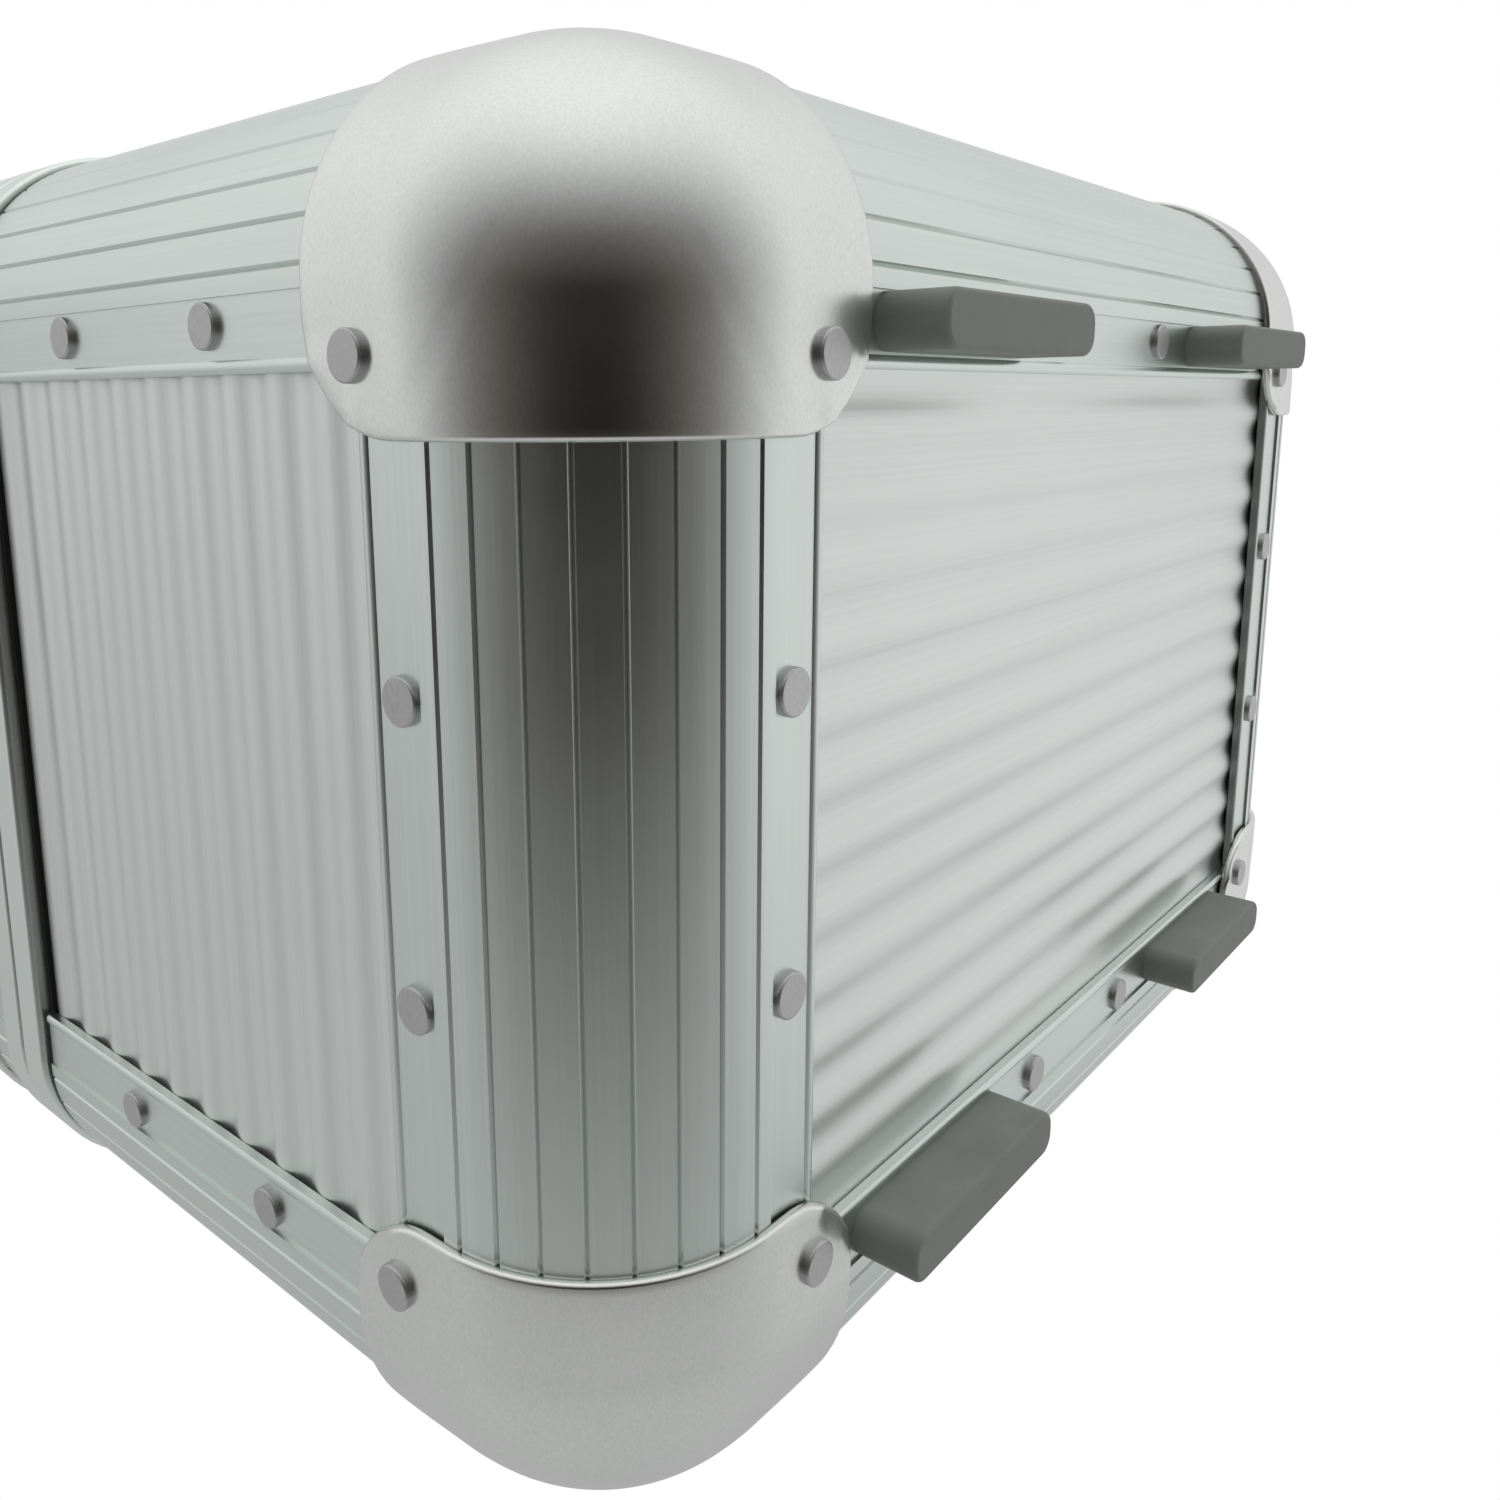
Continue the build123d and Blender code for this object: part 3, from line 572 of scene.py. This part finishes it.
def bead_bump(point):
    """Height pressed up over the flange beads, close to the cut edge."""
    height = 0.0
    for along in range(3):
        for across in range(3):
            if along != across and min(point) == 0.0 and point[along] > 0 and point[across] > 0:
                near = math.exp(-((point[across] - BEAD_LINE) / BEAD_HALF) ** 2)
                height = max(height, near * smooth_step(point[along], BEAD_LINE, BEAD_LINE + BEAD_FADE))
    return BEAD_TALL * height


def outer_point(point, share, height):
    """A point of the cap's outside over a point of the virtual cube."""
    radius = BALL_ROUND + (CUT_ROUND - BALL_ROUND) * smooth_step(share, FLARE_START, 1.0)
    core, outward = on_rounded_cube(point, radius)
    return core + outward * (radius + height)


def inner_point(point, share):
    """A point of the cap's inside: free under the ball, close over the extrusions."""
    radius = BALL_ROUND + (ROUND - BALL_ROUND) * smooth_step(share, INNER_START, INNER_END)
    core, outward = on_rounded_cube(point, radius)
    return core + outward * (radius + INNER_GAP)


def pushed_out(point, loop_place, loop, distance):
    """A cut-edge point moved outward along the virtual face."""
    before = loop[loop_place - 1]
    after = loop[(loop_place + 1) % len(loop)]
    along = after - before
    flat = Vector([1.0 if value == 0.0 else 0.0 for value in point])
    if flat.length > 1.0:
        away = Vector([0.0 if value == 0.0 else 1.0 for value in point])
    else:
        away = along.cross(flat)
        if away.dot(point) < 0:
            away.negate()
    return point + away.normalized() * distance


def cap_rings():
    """Rings of points from the pole to the cut edge, round the rim and back along the inside."""
    loop = cap_loop()
    rings = []
    for number in range(1, CAP_RINGS + 1):
        share = number / CAP_RINGS
        shrunk = [point * share for point in loop]
        rings.append([outer_point(point, share, CAP_THICK + bead_bump(point)) for point in shrunk])
    for distance, height in RIM_ROWS:
        ring = []
        for place, point in enumerate(loop):
            moved = pushed_out(point, place, loop, distance)
            ring.append(outer_point(moved, 1.0, height + bead_bump(point) * height / CAP_THICK))
        rings.append(ring)
    for number in range(INNER_RINGS, 0, -1):
        share = number / INNER_RINGS
        rings.append([inner_point(point * share, share) for point in loop])
    return rings


def make_cap(name, node, rings, material):
    """One pressed corner cap over the corner that its CAD solid holds."""
    low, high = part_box(node)
    middle = (cad_low + cad_high) / 2
    corner = Vector((0, 0, 0))
    ways = Vector((1, 1, 1))
    for axis in range(3):
        if (low[axis] + high[axis]) / 2 < middle[axis]:
            corner[axis] = low[axis] + CAP_THICK
        else:
            corner[axis] = high[axis] - CAP_THICK
            ways[axis] = -1
    mesh = bmesh.new()

    def placed(point):
        return mesh.verts.new([corner[axis] + ways[axis] * point[axis] for axis in range(3)])

    apex = Vector((0, 0, 0))
    poles = (placed(outer_point(apex, 0.0, CAP_THICK)), placed(inner_point(apex, 0.0)))
    rows = [[placed(point) for point in ring] for ring in rings]
    for upper, lower in zip(rows, rows[1:]):
        bridge(mesh, upper, lower)
    for pole, row in zip(poles, (rows[0], rows[-1])):
        for place, vertex in enumerate(row):
            mesh.faces.new((pole, vertex, row[(place + 1) % len(row)]))
    cap = smooth_object(name, mesh, material)
    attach(cap, "lid" if node.startswith("lid") else "base")
    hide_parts(node)


def make_caps(material):
    """The eight caps, all from the same rings of points."""
    rings = cap_rings()
    for node in sorted(nodes):
        if "_corner_" in node:
            make_cap(node.replace("_corner_", "_ball_corner_"), node, rings, material)


# ---------------------------------------------------------------- soft pieces
SOFT_PIECES = (          # name, CAD node it stands for, steps of smoothing, fill
    ("tray_lower_foam", "foam_tray_lower", 3, 0.9),
    ("tray_upper_foam", "foam_tray_upper", 3, 0.9),
    ("floor_pad_foam", "floor_pad", 4, 0.9),
    ("lid_pad_foam", "lid_foam", 4, 0.8),
)
FOAM_VOXEL = 0.0022
FOAM_SMOOTH = 0.5        # strength of each step of smoothing
FOAM_SHRINK = 0.0004
SLACK_SCALE = 18.0       # the shrink varies with this noise scale
CRATE_PITCH = 0.026      # egg-crate face of the lid foam
CRATE_DEEP = 0.007
CRATE_EDGE_FROM = 0.006  # it comes in between these distances from the sides
CRATE_EDGE_FULL = 0.018
CRATE_UP_FROM = 0.0014   # and fades between these heights over the lower face
CRATE_UP_FULL = 0.0168


def soft_copy(name, node, smooth_steps):
    """A foam piece made from a copy of its CAD solid, with rounded, slightly slack edges."""
    piece = nodes[node].copy()
    piece.data = nodes[node].data.copy()
    piece.name = name
    for key in list(piece.keys()):     # the CAD node's own tags stay with the CAD node
        del piece[key]
    piece.parent = None
    bpy.context.scene.collection.objects.link(piece)
    remesh = piece.modifiers.new("remesh", "REMESH")
    remesh.mode = "VOXEL"
    remesh.voxel_size = FOAM_VOXEL
    smooth = piece.modifiers.new("smooth", "SMOOTH")
    smooth.factor = FOAM_SMOOTH
    smooth.iterations = smooth_steps
    bpy.context.view_layer.update()
    shaped = piece.evaluated_get(bpy.context.evaluated_depsgraph_get())
    baked = bpy.data.meshes.new_from_object(shaped)
    piece.modifiers.clear()
    piece.data = baked
    places = []
    for vertex in baked.vertices:
        swell = noise.noise(vertex.co * SLACK_SCALE)
        places.extend(vertex.co - vertex.normal * (FOAM_SHRINK * (1.0 + swell)))
    baked.vertices.foreach_set("co", places)
    baked.polygons.foreach_set("use_smooth", [True] * len(baked.polygons))
    baked.update()
    return piece


def press_crate(piece):
    """Presses an egg-crate pattern into the lower face of a pad, inside a plain border."""
    mesh = piece.data
    lows = [min(vertex.co[axis] for vertex in mesh.vertices) for axis in range(3)]
    highs = [max(vertex.co[axis] for vertex in mesh.vertices) for axis in range(3)]
    for vertex in mesh.vertices:
        x, y, z = vertex.co
        inside = min(x - lows[0], highs[0] - x, y - lows[1], highs[1] - y)
        share = smooth_step(inside, CRATE_EDGE_FROM, CRATE_EDGE_FULL)
        share *= 1 - smooth_step(z - lows[2], CRATE_UP_FROM, CRATE_UP_FULL)
        wave = math.cos(2 * math.pi * x / CRATE_PITCH) * math.cos(2 * math.pi * y / CRATE_PITCH)
        vertex.co.z += CRATE_DEEP * share * (0.5 - 0.5 * wave)
    mesh.update()


def make_foam(material):
    """The four pieces of foam, each in place of its CAD solid."""
    for name, node, steps, fill in SOFT_PIECES:
        piece = soft_copy(name, node, steps)
        if node == "lid_foam":
            press_crate(piece)
        dress(piece, material)
        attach(piece, "lid" if node == "lid_foam" else "base")
        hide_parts(node)


# ---------------------------------------------------------------- handle grip
GRIP_SIDES = 48
GRIP_STEP = 0.0004
GRIP_SQUARE = 0.62       # 1 is an ellipse, less is squarer
GRIP_END = 0.006         # the ends round off over this length
GRIP_END_SHARE = 0.74    # width at the very end, as a share of the full one
RIB_PITCH = 0.0044
RIB_DEEP = 0.055         # share of the grip's width
RIB_MARGIN = 0.011
ROD_RADIUS = 0.00304     # hole for the rod, just clear of it


def grip_share(x, half):
    """How full the grip's section is at x: rounded ends and a row of soft ribs."""
    from_end = half - abs(x)
    end = min(from_end / GRIP_END, 1.0)
    share = GRIP_END_SHARE + (1 - GRIP_END_SHARE) * math.sqrt(1 - (1 - end) ** 2)
    ribbed = smooth_step(from_end, RIB_MARGIN, RIB_MARGIN + RIB_PITCH)
    wave = 0.5 - 0.5 * math.cos(2 * math.pi * x / RIB_PITCH)
    return share * (1 - RIB_DEEP * ribbed * wave ** 2)


def squared(part):
    """One coordinate of a circle, moved towards that of a square."""
    return math.copysign(abs(part) ** GRIP_SQUARE, part)


def make_grip(material):
    """Ribbed rubber sleeve round the handle's rod."""
    low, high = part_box("handle_grip")
    centre = (low + high) / 2
    half = (high - low) / 2
    steps = round(2 * half.x / GRIP_STEP)
    turns = [2 * math.pi * side / GRIP_SIDES for side in range(GRIP_SIDES)]
    rings = []
    for number in range(steps + 1):
        x = -half.x + number * 2 * half.x / steps
        share = grip_share(x, half.x)
        wide = half.y * share
        tall = half.z * share
        ring = [(x, wide * squared(math.cos(turn)), tall * squared(math.sin(turn))) for turn in turns]
        rings.append(ring)
    for x in (half.x, -half.x):
        rings.append([(x, ROD_RADIUS * math.cos(turn), ROD_RADIUS * math.sin(turn)) for turn in turns])
    mesh = bmesh.new()
    rows = [[mesh.verts.new(centre + Vector(point)) for point in ring] for ring in rings]
    for number, row in enumerate(rows):
        bridge(mesh, rows[number - 1], row)
    grip = smooth_object("ribbed_grip", mesh, material)
    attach(grip, "handle")
    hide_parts("handle_grip")


# ---------------------------------------------------------------- assembly
make_camera()
make_world()
make_floor()
make_key()
finishes = make_materials()
for node_name, node_object in nodes.items():
    dress(node_object, finishes[finish_for(node_name)])
make_caps(finishes["cap"])
make_grip(finishes["grip_rubber"])
make_foam(finishes["foam"])
bpy.context.scene.view_settings.view_transform = "Standard"
